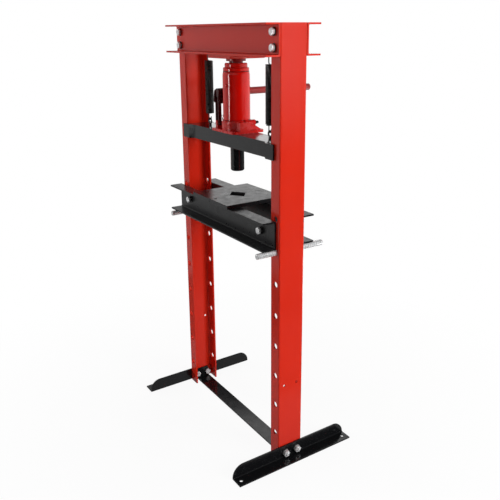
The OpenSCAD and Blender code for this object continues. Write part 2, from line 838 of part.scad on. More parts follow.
module gland_nut() {
    color(RED) difference() {
        union() {
            translate([0, 0, gland_z]) cylinder(h = gland_h - gland_bevel, d = gland_d);
            translate([0, 0, gland_top - gland_bevel])
                cylinder(h = gland_bevel, d1 = gland_d, d2 = gland_d - 2 * gland_bevel);
        }
        translate([0, 0, gland_z - eps]) cylinder(h = gland_h + 2 * eps, d = ram_d + 2 * slip);
        translate([0, 0, gland_z - eps]) cylinder(h = seal_h + eps, d = ram_d + 2 * seal_h);
    }
}

module gland_seal() {
    color("black") difference() {
        translate([0, 0, gland_z]) cylinder(h = seal_h, d = ram_d + 2 * seal_h - fit);
        translate([0, 0, gland_z - eps]) cylinder(h = seal_h + 2 * eps, d = ram_d + slip);
    }
}

// Rubber plug in the front of the reservoir
module filler_plug() {
    r = reservoir_d / 2;
    head = 3;
    color("black") rotate([0, 0, plug_turn]) {
        rod_y(0, -r - slip, -r + reservoir_wall + eps, cap_z - plug_drop, plug_d - 2 * fit);
        rod_y(0, -r - head, -r - fit, cap_z - plug_drop, plug_head_d);
    }
}

module jack_ram() {
    color(ZINC) difference() {
        union() {
            translate([0, 0, ram_low]) cylinder(h = ram_high - ram_low, d = ram_d);
            translate([0, 0, ram_low]) cylinder(h = piston_h, d = barrel_bore - fit);
        }
        translate([0, 0, screw_low - screw_travel - eps]) cylinder(h = ram_high, d = screw_d + fit);
        translate([0, 0, seal_z]) difference() {
            cylinder(h = seal_h, d = barrel_bore + 2 * eps);
            translate([0, 0, -eps]) cylinder(h = seal_h + 2 * eps, d = barrel_bore - 2 * seal_depth);
        }
    }
}

module ram_seal() {
    color("black") translate([0, 0, seal_z + fit / 2]) difference() {
        cylinder(h = seal_h - fit, d = barrel_bore - seal_play);
        translate([0, 0, -eps]) cylinder(h = seal_h + 2 * eps, d = barrel_bore - 2 * seal_depth + fit);
    }
}

module extension_screw() {
    color(ZINC) translate([0, 0, screw_low]) cylinder(h = saddle_z + screw_up - screw_low, d = screw_d);
}

// Round head on the extension screw with a hub and a cross groove
module saddle() {
    groove = 2;
    groove_w = 4;
    color(RED) difference() {
        union() {
            translate([0, 0, saddle_z]) cylinder(h = saddle_t, d = saddle_d);
            translate([0, 0, hub_z]) cylinder(h = saddle_z - hub_z + eps, d = ram_d);
        }
        translate([0, 0, hub_z - eps]) cylinder(h = saddle_z + screw_up - hub_z + eps, d = screw_d);
        for (a = [0, 90]) rotate([0, 0, a])
            translate([-saddle_d, -groove_w / 2, saddle_top - groove])
                cube([2 * saddle_d, groove_w, groove + eps]);
    }
}

module pump_barrel() {
    color(ZINC) translate([-pump_x, plunger_y, 0]) difference() {
        union() {
            translate([0, 0, ring_z]) cylinder(h = pump_top - ring_z, d = pump_body_d);
            translate([0, 0, pump_top - pump_nut_h]) hexagon(pump_body_d + pump_nut_lap, pump_nut_h);
        }
        translate([0, 0, pump_seat]) cylinder(h = pump_top, d = plunger_d + fit);
    }
}

module pump_plunger() {
    eye = plunger_d / 2 + plunger_eye_lap;
    low = pump_seat + pump_room;
    color(ZINC) translate([-pump_x, plunger_y, 0]) difference() {
        union() {
            translate([0, 0, low]) cylinder(h = lever_pin_z - low, d = plunger_d);
            rod_x(-plunger_d / 2, plunger_d / 2, 0, lever_pin_z, 2 * eye);
        }
        rod_x(-plunger_d, plunger_d, 0, lever_pin_z, pivot_d + fit);
    }
}

module plunger_pin() {
    half = cheek_out + eps;
    color(ZINC) rod_x(-pump_x - half, -pump_x + half, plunger_y, lever_pin_z, pivot_d);
}

// Two straps from the foot's lug up to the lever, between its cheeks
module lever_links() {
    color(RED) for (side = [-1, 1]) translate([-pump_x + side * (link_in + link_out) / 2, link_y, 0])
        difference() {
            union() {
                for (z = [lug_z, lever_pin_z]) rod_x(-link_t / 2, link_t / 2, 0, z, link_w);
                translate([-link_t / 2, -link_w / 2, lug_z]) cube([link_t, link_w, lever_pin_z - lug_z]);
            }
            for (z = [lug_z, lever_pin_z]) rod_x(-link_t, link_t, 0, z, pivot_d + fit);
        }
}

// Pin with a head at each end, at height z, that holds parts out to half on each side
module headed_pin(z, half) {
    end = half + slip;
    color(ZINC) {
        rod_x(-pump_x - end, -pump_x + end, link_y, z, pivot_d);
        for (x = [-end - pivot_head, end])
            rod_x(-pump_x + x, -pump_x + x + pivot_head, link_y, z, pivot_head_d);
    }
}

// Lever: two cheeks that hold the handle's sleeve between them
module pump_lever() {
    color(RED) difference() {
        union() {
            for (side = [-1, 1])
                translate([-pump_x + side * (cheek_in + cheek_out) / 2 - cheek_t / 2, 0, 0])
                    rotate([90, 0, 90]) linear_extrude(cheek_t) lever_cheek();
            rod_y(-pump_x, sleeve_y, sleeve_y + sleeve_l, bar_z, sleeve_d);
        }
        rod_y(-pump_x, handle_y - eps, handle_y + sleeve_l, bar_z, handle_d + 2 * slip);
        rod_x(-pump_x - lever_cut, -pump_x + lever_cut, link_y, lever_pin_z, pivot_d + fit);
        for (y = [plunger_y - slot_back, plunger_y + slot_l])
            rod_x(-pump_x - lever_cut, -pump_x + lever_cut, y, lever_pin_z, slot_h);
        translate([-pump_x - lever_cut, plunger_y - slot_back, lever_pin_z - slot_h / 2])
            cube([2 * lever_cut, slot_back + slot_l, slot_h]);
    }
}

module lever_cheek() {
    nose = link_y + cheek_nose;
    tail = plunger_y + cheek_tail;
    top = bar_z + sleeve_d / 2 - cheek_drop;
    for (p = [[link_y, lever_pin_z], [nose, top - lever_r], [tail, top - lever_r]])
        translate(p) circle(r = lever_r);
    polygon([[link_y - lever_r, lever_pin_z], [link_y, lever_pin_z - lever_r],
        [plunger_y + lever_r, lever_pin_z - lever_r], [tail + lever_r, top - lever_r],
        [tail, top], [nose, top], [nose - lever_r, top - lever_r]]);
}

module handle_bar() {
    dome = 4;
    color(RED) {
        rod_y(-pump_x, handle_y, handle_y + handle_length - dome, bar_z, handle_d);
        translate([-pump_x, handle_y + handle_length - dome, bar_z]) rotate([-90, 0, 0])
            cylinder(h = dome, d1 = handle_d, d2 = handle_d - 2 * dome);
    }
}

// Spindle of the release valve, with a slot across its outer end
module release_valve() {
    slot_w = 3;
    slot_d = 4;
    collar_t = 3.7;
    collar = 4;
    color("black") difference() {
        union() {
            rod_y(valve_x, valve_y - valve_in, valve_y + valve_out, valve_z, valve_d - slip);
            rod_y(valve_x, valve_y + slip, valve_y + slip + collar_t, valve_z, valve_d + collar);
        }
        translate([valve_x - slot_w / 2, valve_y + valve_out - slot_d, valve_z - valve_d])
            cube([slot_w, slot_d + eps, 2 * valve_d]);
    }
}

post(-1);  // post_left
post(1);  // post_right
head_beam(-1);  // head_beam_front
head_beam(1);  // head_beam_rear
head_plate();
head_ribs();
spring_rods();
head_bolts();
head_washers();
head_nuts();
foot(-1);  // foot_left
foot(1);  // foot_right
base_brace();
foot_bolts();
foot_washers();
foot_nuts();
bed_channel(-1);  // bed_channel_front
bed_channel(1);  // bed_channel_rear
bed_spacers();
bed_bolts();
bed_washers();
bed_nuts();
bed_pin(-1, pin_left_y);  // bed_pin_left
bed_pin(1, pin_right_y);  // bed_pin_right
arbor_plate(-1);  // arbor_plate_left
arbor_plate(1);  // arbor_plate_right
press_beam();
pin_holder();
press_pin();
pin_screw();
spring_eyes();
eye_nuts();
return_spring(-1);  // return_spring_left
return_spring(1);  // return_spring_right
jack_base();
jack_cylinder();
jack_reservoir();
reservoir_cap();
gland_nut();
gland_seal();
filler_plug();
jack_ram();
ram_seal();
extension_screw();
saddle();
pump_barrel();
pump_plunger();
plunger_pin();
lever_links();
headed_pin(lug_z, link_out);  // link_pin
headed_pin(lever_pin_z, cheek_out);  // fulcrum_pin
pump_lever();
handle_bar();
release_valve();
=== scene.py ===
"""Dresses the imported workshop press: paint, zinc, springs, jack castings, studio and camera."""

import json
import math

import bmesh
import bpy
from mathutils import Matrix, Vector


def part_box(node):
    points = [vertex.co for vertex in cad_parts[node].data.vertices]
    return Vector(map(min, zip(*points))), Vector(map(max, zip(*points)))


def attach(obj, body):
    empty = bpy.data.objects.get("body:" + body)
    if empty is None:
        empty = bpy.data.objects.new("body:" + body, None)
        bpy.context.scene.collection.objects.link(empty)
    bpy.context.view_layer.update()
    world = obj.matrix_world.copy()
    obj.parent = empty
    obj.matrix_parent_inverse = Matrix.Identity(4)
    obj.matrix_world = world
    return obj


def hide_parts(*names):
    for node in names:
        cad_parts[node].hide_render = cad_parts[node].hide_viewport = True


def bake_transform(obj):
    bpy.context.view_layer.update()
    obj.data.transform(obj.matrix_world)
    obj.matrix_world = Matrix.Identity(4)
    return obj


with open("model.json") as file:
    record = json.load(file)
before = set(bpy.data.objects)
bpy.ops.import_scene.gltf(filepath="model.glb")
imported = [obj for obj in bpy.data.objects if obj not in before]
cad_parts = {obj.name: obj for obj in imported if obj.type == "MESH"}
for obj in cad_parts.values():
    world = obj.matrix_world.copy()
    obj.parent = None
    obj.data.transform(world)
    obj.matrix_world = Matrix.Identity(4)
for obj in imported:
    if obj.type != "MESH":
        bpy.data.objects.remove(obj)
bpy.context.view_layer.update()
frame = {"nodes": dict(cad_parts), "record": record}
MM = 0.001
X_AXIS = Vector((1, 0, 0))
Y_AXIS = Vector((0, 1, 0))
Z_AXIS = Vector((0, 0, 1))
BODY_OF = {node: body for body, nodes in frame["record"]["behaviour"]["bodies"].items() for node in nodes}


# Materials

class Graph:
    """The shader nodes of a material or of the world."""

    def __init__(self, owner):
        owner.use_nodes = True
        self.nodes = owner.node_tree.nodes
        self.links = owner.node_tree.links

    def place(self):
        """Object coordinates."""
        return self.nodes.new("ShaderNodeTexCoord").outputs["Object"]

    def ramp(self, value, low, high, out_low, out_high):
        """Maps a value from low..high to out_low..out_high, held at the ends."""
        node = self.nodes.new("ShaderNodeMapRange")
        node.inputs["From Min"].default_value = low
        node.inputs["From Max"].default_value = high
        node.inputs["To Min"].default_value = out_low
        node.inputs["To Max"].default_value = out_high
        self.links.new(value, node.inputs["Value"])
        return node.outputs["Result"]

    def combined(self, operation, first, second):
        """What a Math node makes of two values."""
        node = self.nodes.new("ShaderNodeMath")
        node.operation = operation
        self.links.new(first, node.inputs[0])
        self.links.new(second, node.inputs[1])
        return node.outputs["Value"]

    def looked_at(self):
        """1 for rays that look at the background: from the camera, mirrored or let through."""
        path = self.nodes.new("ShaderNodeLightPath")
        seen = self.combined("MAXIMUM", path.outputs["Is Camera Ray"], path.outputs["Is Glossy Ray"])
        return self.combined("MAXIMUM", seen, path.outputs["Is Transmission Ray"])


class Finish(Graph):
    """A Principled material that is built up from a few noise layers on Object coordinates."""

    def __init__(self, name, colour, roughness, metallic=0.0, ior=1.5):
        self.material = bpy.data.materials.new(name)
        super().__init__(self.material)
        self.shader = self.nodes["Principled BSDF"]
        self.shader.inputs["Base Color"].default_value = (*colour, 1)
        self.shader.inputs["Roughness"].default_value = roughness
        self.shader.inputs["Metallic"].default_value = metallic
        self.shader.inputs["IOR"].default_value = ior
        self.coordinates = self.place()
        self.relief = None

    def noise(self, scale, detail=3.0, stretch=None):
        """Noise in each direction alike, or drawn out by a stretch vector on turned surfaces."""
        texture = self.nodes.new("ShaderNodeTexNoise")
        texture.inputs["Scale"].default_value = scale
        texture.inputs["Detail"].default_value = detail
        coordinates = self.coordinates
        if stretch:
            mapping = self.nodes.new("ShaderNodeMapping")
            mapping.inputs["Scale"].default_value = stretch
            self.links.new(coordinates, mapping.inputs["Vector"])
            coordinates = mapping.outputs["Vector"]
        self.links.new(coordinates, texture.inputs["Vector"])
        return texture.outputs["Fac"]

    def patches(self, colour, most, noise, low=0.35, high=0.7):
        """Mixes a colour over the present one, from none where the noise is low to most where high."""
        mix = self.nodes.new("ShaderNodeMix")
        mix.data_type = "RGBA"
        base = self.shader.inputs["Base Color"]
        if base.is_linked:
            self.links.new(base.links[0].from_socket, mix.inputs["A"])
        else:
            mix.inputs["A"].default_value = base.default_value
        mix.inputs["B"].default_value = (*colour, 1)
        self.links.new(self.ramp(noise, low, high, 0.0, most), mix.inputs["Factor"])
        self.links.new(mix.outputs["Result"], base)

    def uneven_gloss(self, least, most, noise, low=0.3, high=0.7):
        """Roughness that follows the noise from least to most."""
        self.links.new(self.ramp(noise, low, high, least, most), self.shader.inputs["Roughness"])

    def bump(self, depth, strength, noise):
        """Adds a relief of that depth in millimetres on top of the earlier ones."""
        node = self.nodes.new("ShaderNodeBump")
        node.inputs["Distance"].default_value = depth * MM
        node.inputs["Strength"].default_value = strength
        self.links.new(noise, node.inputs["Height"])
        if self.relief:
            self.links.new(self.relief, node.inputs["Normal"])
        self.relief = node.outputs["Normal"]
        self.links.new(self.relief, self.shader.inputs["Normal"])


def frame_paint():
    """Gloss red powder coat with a fine orange peel and slow changes of tone."""
    paint = Finish("frame_red_powder_coat", (0.58, 0.02, 0.007), 0.15, ior=1.42)
    paint.patches((0.53, 0.016, 0.006), 0.45, paint.noise(5.0))
    paint.patches((0.4, 0.02, 0.012), 0.08, paint.noise(90.0, 4.0), 0.62, 0.8)
    paint.uneven_gloss(0.13, 0.2, paint.noise(35.0))
    paint.bump(0.05, 0.45, paint.noise(420.0, 2.0))
    return paint.material


def jack_paint():
    """Wet looking deep red enamel of the jack's turned parts."""
    paint = Finish("jack_red_enamel", (0.58, 0.004, 0.0015), 0.1, ior=1.52)
    paint.patches((0.48, 0.004, 0.002), 0.5, paint.noise(14.0))
    paint.uneven_gloss(0.09, 0.16, paint.noise(50.0))
    paint.bump(0.05, 0.45, paint.noise(260.0))
    return paint.material


def casting_paint():
    """The same enamel over a sand casting, so more uneven."""
    paint = Finish("jack_red_casting", (0.54, 0.006, 0.003), 0.24)
    paint.patches((0.42, 0.004, 0.003), 0.6, paint.noise(20.0))
    paint.uneven_gloss(0.18, 0.36, paint.noise(70.0))
    paint.bump(0.2, 0.6, paint.noise(170.0, 4.0))
    return paint.material


def saddle_painted_shade():
    """Saddle enamel darkened to a deep red as painted shade for the shadow under the head plate; its
    mottle and relief are its own.
    """
    paint = Finish("saddle_red_painted_shade", (0.24, 0.004, 0.003), 0.28, ior=1.48)
    paint.patches((0.16, 0.003, 0.003), 0.6, paint.noise(30.0))
    paint.uneven_gloss(0.22, 0.38, paint.noise(70.0))
    paint.bump(0.2, 0.6, paint.noise(170.0, 4.0))
    return paint.material


def pump_paint():
    """Dark maroon enamel of the pump's lever and links."""
    paint = Finish("pump_dark_maroon", (0.035, 0.0015, 0.002), 0.25, ior=1.45)
    paint.patches((0.06, 0.002, 0.003), 0.5, paint.noise(40.0), 0.4, 0.7)
    paint.uneven_gloss(0.2, 0.34, paint.noise(80.0))
    paint.bump(0.08, 0.5, paint.noise(300.0))
    return paint.material


def gloss_black():
    """Black gloss coat with a light orange peel and faint dust."""
    paint = Finish("gloss_black_coat", (0.006, 0.0062, 0.007), 0.15)
    paint.patches((0.016, 0.016, 0.017), 0.3, paint.noise(22.0, 5.0), 0.5, 0.8)
    paint.uneven_gloss(0.12, 0.2, paint.noise(45.0))
    paint.bump(0.03, 0.35, paint.noise(380.0, 2.0))
    return paint.material


def satin_black():
    """Black coat of the bed and its plates, more matt, with faint rubbing marks."""
    paint = Finish("satin_black_coat", (0.007, 0.0072, 0.008), 0.3, ior=1.48)
    paint.patches((0.018, 0.018, 0.019), 0.4, paint.noise(30.0, 5.0), 0.5, 0.8)
    paint.uneven_gloss(0.26, 0.38, paint.noise(60.0, 4.0))
    paint.bump(0.03, 0.4, paint.noise(500.0, 2.0))
    return paint.material


def zinc_plate():
    """Bright zinc with a warm and a cool cast."""
    metal = Finish("bright_zinc_plate", (0.84, 0.84, 0.85), 0.32, metallic=0.5)
    metal.patches((0.74, 0.74, 0.72), 0.4, metal.noise(90.0), 0.4, 0.7)
    metal.patches((0.72, 0.76, 0.82), 0.3, metal.noise(40.0), 0.5, 0.75)
    metal.uneven_gloss(0.28, 0.46, metal.noise(140.0, 4.0))
    metal.bump(0.03, 0.35, metal.noise(700.0))
    return metal.material


def dark_washer():
    """Nearly black metal of the washers."""
    metal = Finish("dark_washer_steel", (0.05, 0.048, 0.05), 0.35, metallic=0.6)
    metal.patches((0.09, 0.085, 0.085), 0.6, metal.noise(120.0), 0.45, 0.75)
    metal.uneven_gloss(0.3, 0.45, metal.noise(160.0))
    metal.bump(0.03, 0.4, metal.noise(600.0))
    return metal.material


def drawn_bar(name, stretch):
    """Bright bar steel with fine marks that run round it."""
    metal = Finish(name, (0.78, 0.79, 0.8), 0.25, metallic=0.55)
    metal.patches((0.62, 0.62, 0.61), 0.35, metal.noise(1.0, 4.0, stretch), 0.4, 0.65)
    metal.uneven_gloss(0.22, 0.32, metal.noise(1.0, 4.0, stretch))
    metal.bump(0.01, 0.3, metal.noise(1.0, 2.0, stretch))
    return metal.material


def handle_paint():
    """Dull dark red of the loose handle, worn by hands."""
    paint = Finish("handle_dull_red", (0.3, 0.03, 0.028), 0.38)
    paint.patches((0.24, 0.02, 0.02), 0.5, paint.noise(30.0, 4.0), 0.4, 0.75)
    paint.uneven_gloss(0.32, 0.46, paint.noise(60.0))
    paint.bump(0.04, 0.4, paint.noise(400.0, 2.0))
    return paint.material


def spring_coat():
    """Dark oiled spring wire."""
    paint = Finish("black_spring_wire", (0.01, 0.011, 0.01), 0.3, ior=1.45)
    paint.patches((0.024, 0.027, 0.027), 0.6, paint.noise(70.0), 0.45, 0.75)
    paint.uneven_gloss(0.24, 0.4, paint.noise(120.0))
    paint.bump(0.03, 0.4, paint.noise(900.0))
    return paint.material


def black_rubber():
    """Matt black rubber of the seals."""
    rubber = Finish("black_rubber", (0.012, 0.012, 0.012), 0.6)
    rubber.patches((0.03, 0.03, 0.03), 0.5, rubber.noise(160.0), 0.45, 0.8)
    rubber.uneven_gloss(0.5, 0.7, rubber.noise(200.0))
    rubber.bump(0.05, 0.5, rubber.noise(800.0))
    return rubber.material


FRAME_RED = frame_paint()
JACK_RED = jack_paint()
CASTING = casting_paint()
# The saddle's darker red is painted shade for the shadow under the head plate
SADDLE_PAINTED_SHADE = saddle_painted_shade()
MAROON = pump_paint()
BLACK = gloss_black()
SATIN = satin_black()
ZINC = zinc_plate()
WASHER = dark_washer()
PIN_STEEL = drawn_bar("drawn_pin_steel", (60, 900, 60))
RAM_STEEL = drawn_bar("ground_ram_steel", (60, 60, 900))
HANDLE_RED = handle_paint()
SPRING = spring_coat()
RUBBER = black_rubber()


# Shaping tools

WELD_REACH = 1e-6
FLAT_ANGLE = 0.5
SHARP_ANGLE = 40


def piece_of(name, bm, material, smooth=35):
    """Turns a bmesh into an object with faces outward, smooth up to an angle."""
    bmesh.ops.recalc_face_normals(bm, faces=bm.faces)
    mesh = bpy.data.meshes.new(name)
    bm.to_mesh(mesh)
    bm.free()
    for polygon in mesh.polygons:
        polygon.use_smooth = True
    mesh.set_sharp_from_angle(angle=math.radians(smooth))
    piece = bpy.data.objects.new(name, mesh)
    bpy.context.scene.collection.objects.link(piece)
    mesh.materials.append(material)
    return piece


def finished(name, bm, material, node, smooth=35, extra=False):
    """A piece that rides on the node's body, and replaces the node or is extra to it."""
    piece = piece_of(name, bm, material, smooth)
    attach(piece, BODY_OF[node])
    if not extra:
        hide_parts(node)
    return piece


def merged_copy(node):
    """The node's own mesh with its corners joined."""
    bm = bmesh.new()
    bm.from_mesh(frame["nodes"][node].data)
    bmesh.ops.remove_doubles(bm, verts=bm.verts, dist=WELD_REACH)
    return bm


def rounded(node, material, width, segments=2, smooth=35):
    """The node with clean flat faces, its sharp edges rounded by width in millimetres."""
    bm = merged_copy(node)
    bmesh.ops.dissolve_limit(bm, angle_limit=math.radians(FLAT_ANGLE), verts=bm.verts, edges=bm.edges)
    piece = finished(node + "_painted", bm, material, node, smooth)
    bevel = piece.modifiers.new("rounded_edges", "BEVEL")
    bevel.width = width * MM
    bevel.segments = segments
    bevel.limit_method = "ANGLE"
    bevel.angle_limit = math.radians(SHARP_ANGLE)
    bevel.harden_normals = True


def carried(centre, axis):
    """The matrix that takes what stands on the origin along +Z to centre, along axis."""
    return Matrix.Translation(centre) @ Z_AXIS.rotation_difference(axis).to_matrix().to_4x4()


def place(bm, centre, axis=Z_AXIS):
    """Moves what was made about the origin along +Z to centre, along axis."""
    bmesh.ops.transform(bm, matrix=carried(centre, axis), verts=bm.verts)


def join(bm, other, feet=((Vector(), Z_AXIS),)):
    """Adds another bmesh to bm at each (centre, axis), and frees it."""
    mesh = bpy.data.meshes.new("joined")
    other.to_mesh(mesh)
    other.free()
    for centre, axis in feet:
        copy = mesh.copy()
        copy.transform(carried(centre, axis))
        bm.from_mesh(copy)
        bpy.data.meshes.remove(copy)
    bpy.data.meshes.remove(mesh)


def turned(bm, profile, steps):
    """Spins (radius, height) points in millimetres about the Z axis and adds the result to bm."""
    blank = bmesh.new()
    points = [blank.verts.new(Vector((r, 0, z)) * MM) for r, z in profile]
    edges = [blank.edges.new(pair) for pair in zip(points, points[1:])]
    bmesh.ops.spin(blank, geom=points + edges, cent=Vector(), axis=Z_AXIS, angle=math.tau,
                   steps=steps, use_merge=True)
    bmesh.ops.remove_doubles(blank, verts=blank.verts, dist=WELD_REACH)
    join(bm, blank)


def rounded_corner(radius, height, r):
    """Profile points of a rounded upper corner at (radius, height), going up and in."""
    steps = 4
    angles = [math.radians(90 * step / steps) for step in range(steps + 1)]
    return [(radius - r + r * math.cos(a), height - (r - r * math.sin(a))) for a in angles]


HEX_RIM = 0.98
HEX_CHAMFER_ANGLE = 20
HEX_STEPS = 48


def hexagon(bm, flats, low, high, bore=0.0, low_chamfer=False):
    """A nut or bolt head along +Z: a turned blank cut by six flats. Sizes in millimetres."""
    corner = flats / math.cos(math.radians(30)) / 2
    rim = flats / 2 * HEX_RIM
    drop = (corner - rim) * math.tan(math.radians(HEX_CHAMFER_ANGLE))
    foot = [(rim, low), (corner, low + drop)] if low_chamfer else [(corner, low)]
    profile = [(bore, low), *foot, (corner, high - drop), (rim, high), (bore, high)]
    if bore:
        profile.append(profile[0])
    blank = bmesh.new()
    turned(blank, profile, HEX_STEPS)
    for side in range(6):
        normal = Matrix.Rotation(math.radians(60 * side), 3, "Z") @ X_AXIS
        cut = bmesh.ops.bisect_plane(blank, geom=blank.verts[:] + blank.edges[:] + blank.faces[:],
                                     plane_co=normal * flats / 2 * MM, plane_no=normal, clear_outer=True)
        loop = [e for e in cut["geom_cut"] if isinstance(e, bmesh.types.BMEdge)]
        bmesh.ops.contextual_create(blank, geom=loop)
    join(bm, blank)


THREAD_DEPTH = 0.55
THREAD_HALF_WIDTH = 0.45
THREAD_ROOT = 0.1


def thread(bm, radius, pitch, low, high, steps=20):
    """A helical ridge round a shaft along +Z, from low to high. Sizes in millimetres."""
    ridge = bmesh.new()
    root = radius - pitch * THREAD_DEPTH - THREAD_ROOT
    half = pitch * THREAD_HALF_WIDTH
    section = [(root, -half), (root, half), (radius, 0)]
    face = ridge.faces.new([ridge.verts.new(Vector((r, 0, low + z)) * MM) for r, z in section])
    turns = (high - low) / pitch
    count = int(turns * steps)
    bmesh.ops.spin(ridge, geom=[face], cent=Vector(), axis=Z_AXIS, angle=math.tau * turns,
                   dvec=Z_AXIS * (high - low) * MM / count, steps=count)
    join(bm, ridge)


def islands(node):
    """The box of each separate solid in a node, in a fixed order, as (lowest corner, highest corner)."""
    bm = merged_copy(node)
    left = set(bm.verts)
    boxes = []
    while left:
        group = []
        reached = [left.pop()]
        while reached:
            vert = reached.pop()
            group.append(vert.co.copy())
            fresh = [e.other_vert(vert) for e in vert.link_edges if e.other_vert(vert) in left]
            left.difference_update(fresh)
            reached.extend(fresh)
        boxes.append((Vector(map(min, zip(*group))), Vector(map(max, zip(*group)))))
    bm.free()
    return sorted(boxes, key=lambda box: tuple(box[0]))


def feet_of(node, way_of):
    """The foot and the direction of each solid in a node, and the solids' length in millimetres."""
    feet = []
    for low, high in islands(node):
        middle = (low + high) / 2
        way = way_of(middle)
        length = abs((high - low).dot(way)) / MM
        feet.append((middle - way * length / 2 * MM, way))
    return feet, length


# Frame, bed and press beam. Edges are rounded by these radii in millimetres

SHEET_EDGE = 0.6
PLATE_EDGE = 0.8
SLIDING_PIN_EDGE = 0.4
BAR_EDGE = 0.5
RAM_EDGE = 0.6
LINK_EDGE = 0.8
CASTING_EDGE = 1.5
SADDLE_EDGE = 1.2
VALVE_EDGE = 0.4
SEAL_EDGE = 0.3
# Segments of a rounded edge on castings, and the smoothing angle that keeps the press beam's folds crisp
FINE = 3
FOLD_ANGLE = 4

for node in ("post_left", "post_right", "head_beam_front", "head_beam_rear"):
    rounded(node, FRAME_RED, SHEET_EDGE)
for node in ("head_plate", "head_ribs", "spring_rods"):
    rounded(node, FRAME_RED, PLATE_EDGE)
for node in ("foot_left", "foot_right", "base_brace"):
    rounded(node, BLACK, SHEET_EDGE)
rounded("press_beam", BLACK, SHEET_EDGE, smooth=FOLD_ANGLE)
for node in ("bed_channel_front", "bed_channel_rear"):
    rounded(node, SATIN, SHEET_EDGE)
for node in ("arbor_plate_left", "arbor_plate_right"):
    rounded(node, SATIN, PLATE_EDGE)
rounded("pin_holder", BLACK, PLATE_EDGE)
rounded("press_pin", BLACK, RAM_EDGE)
for node in ("bed_pin_left", "bed_pin_right"):
    rounded(node, PIN_STEEL, SLIDING_PIN_EDGE)
rounded("bed_spacers", ZINC, BAR_EDGE)


# Fasteners, in millimetres

M12_RADIUS = 6.0
M12_PITCH = 1.75
M12_FLATS = 19.0
M12_HEAD = 7.5
M12_THREADED = 26.0
M8_RADIUS = 3.85
M8_PITCH = 1.25
M8_ROOT = M8_RADIUS - 0.7
HOLE_PLAY = 0.05
WASHER_BORE = 12.5
WASHER_RIM = 12.0
BAR_STEPS = 32
DISC_STEPS = 48
# Rings of a bolt's top, as (share of the washer face's radius, height over the head)
BOLT_TOP = [(0, -0.7), (0.75, -0.7), (0.75, -0.2), (0.7, 0), (0.6, 0), (0.5, -0.3), (0, -0.35)]


def front_or_rear(point):
    """Outward at a point of the head or the bed."""
    return Y_AXIS if point.y > 0 else -Y_AXIS


def left_or_right(point):
    """Outward at a point of a foot."""
    return X_AXIS if point.x > 0 else -X_AXIS


def bolts(node, way_of):
    """M12 bolts with a chamfered head, a washer face, a dished top and a cut thread."""
    feet, span = feet_of(node, way_of)
    root = M12_RADIUS - M12_PITCH * THREAD_DEPTH
    tip = 0.6
    seat = span - M12_HEAD
    face = M12_FLATS * 0.47
    face_top = seat + 0.6
    head_top = span - 0.5
    shank_top = seat + 1
    bm = bmesh.new()
    blank = bmesh.new()
    turned(blank, [(0, 0), (root - tip, 0), (root, tip), (root, M12_THREADED),
                   (M12_RADIUS, M12_THREADED + 0.5), (M12_RADIUS, shank_top), (0, shank_top)], BAR_STEPS)
    thread(blank, M12_RADIUS, M12_PITCH, tip + 0.3, M12_THREADED)
    hexagon(blank, M12_FLATS, seat + 0.4, head_top)
    turned(blank, [(0, face_top), (face, face_top), (face, seat), (0, seat)], DISC_STEPS)
    turned(blank, [(face * share, span + height) for share, height in BOLT_TOP], DISC_STEPS)
    join(bm, blank, feet)
    finished(node + "_hex", bm, ZINC, node, smooth=28)


def nuts(node, way_of, flats=M12_FLATS, screw=M12_RADIUS):
    """Hex nuts with both ends chamfered."""
    feet, height = feet_of(node, way_of)
    bm = bmesh.new()
    blank = bmesh.new()
    hexagon(blank, flats, 0, height, screw + HOLE_PLAY, low_chamfer=True)
    join(bm, blank, feet)
    finished(node + "_hex", bm, ZINC, node, smooth=28)


def washer(bm, height, feet):
    """Punched washers with a soft upper edge, one at each foot."""
    soft = 0.5
    hole = WASHER_BORE / 2
    blank = bmesh.new()
    turned(blank, [(hole, 0), (WASHER_RIM - soft * 0.4, 0), (WASHER_RIM, soft * 0.5),
                   (WASHER_RIM, height - soft), (WASHER_RIM - soft, height), (hole + soft, height),
                   (hole, height - soft), (hole, 0)], DISC_STEPS)
    join(bm, blank, feet)


def washers(node, way_of):
    """Flat washers of a row of bolts."""
    feet, height = feet_of(node, way_of)
    bm = bmesh.new()
    washer(bm, height, feet)
    finished(node + "_turned", bm, WASHER, node, smooth=40)


def split_ring(inner, outer, height):
    """A split spring washer on the origin."""
    ring = bmesh.new()
    section = [(inner, 0), (outer, 0), (outer, height), (inner, height)]
    face = ring.faces.new([ring.verts.new(Vector((r, 0, z)) * MM) for r, z in section])
    bmesh.ops.spin(ring, geom=[face], cent=Vector(), axis=Z_AXIS, angle=math.radians(350), steps=40)
    return ring


def bed_washers():
    """Flat washers at both ends of the bed's bolts, and a split spring washer under each head."""
    thick = 2.5
    low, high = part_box("bed_washers")
    web = high.y - thick * MM
    level = (low.z + high.z) / 2
    bm = bmesh.new()
    for x in (low.x + WASHER_RIM * MM, high.x - WASHER_RIM * MM):
        front = Vector((x, -web, level))
        washer(bm, thick, [(Vector((x, web, level)), Y_AXIS), (front, -Y_AXIS)])
        on_flat = [(front - Y_AXIS * thick * MM, -Y_AXIS)]
        join(bm, split_ring(inner=6.4, outer=10.0, height=3.0), on_flat)
    finished("bed_washers_turned", bm, WASHER, "bed_washers", smooth=40)


def m8_point(foot):
    """Profile of the chamfered end of an M8 screw, up to the root of its thread."""
    return [(0, foot), (M8_ROOT - 0.5, foot), (M8_ROOT, foot + 0.7)]


